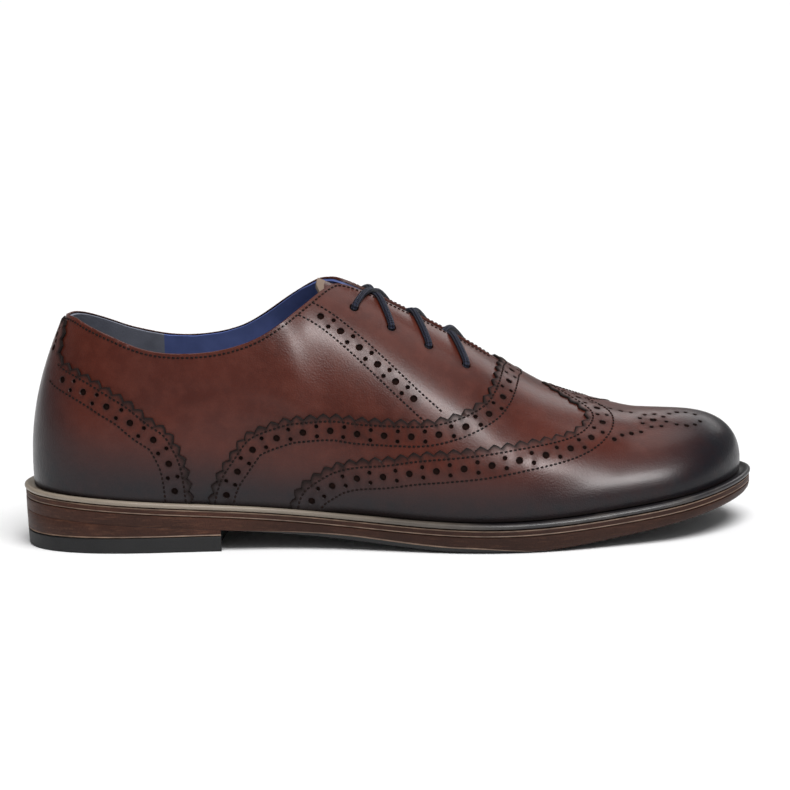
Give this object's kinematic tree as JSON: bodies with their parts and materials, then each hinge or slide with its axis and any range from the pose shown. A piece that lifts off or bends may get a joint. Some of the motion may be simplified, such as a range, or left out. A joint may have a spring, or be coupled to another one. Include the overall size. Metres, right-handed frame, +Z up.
{
  "type": "wingtip brogue shoe",
  "caption": "Low laced leather dress shoe for the right foot: hollow upper open at the collar, wing cap, stacked heel, welted sole; stands on heel and ball.",
  "frame": {"origin": "middle of the shoe's length and width, on the floor it stands on", "axes": "+X from heel to toe, +Y to the inner side of the foot, -Y to the outer side, +Z up"},
  "size_m": [0.2998, 0.1036, 0.1069],
  "materials": {
    "upper_leather": "satin, polished",
    "burnished_leather": "burnished, polished",
    "welt_leather": "stained, satin",
    "sole_leather": "stained edge, satin",
    "heel_rubber": "matt",
    "lining_leather": "matt",
    "waxed_lace": "waxed"
  },
  "bodies": {
    "root": {"outsole": "sole_leather", "midsole": "sole_leather", "welt": "welt_leather", "heel_stack": "sole_leather", "heel_lift": "heel_rubber", "insole": "lining_leather", "upper": "upper_leather", "tongue": "upper_leather", "heel_counter": "burnished_leather", "vamp": "upper_leather", "wing_cap": "burnished_leather", "lace_crossing_1": "waxed_lace", "lace_crossing_2": "waxed_lace", "lace_crossing_3": "waxed_lace"}
  },
  "joints": []
}
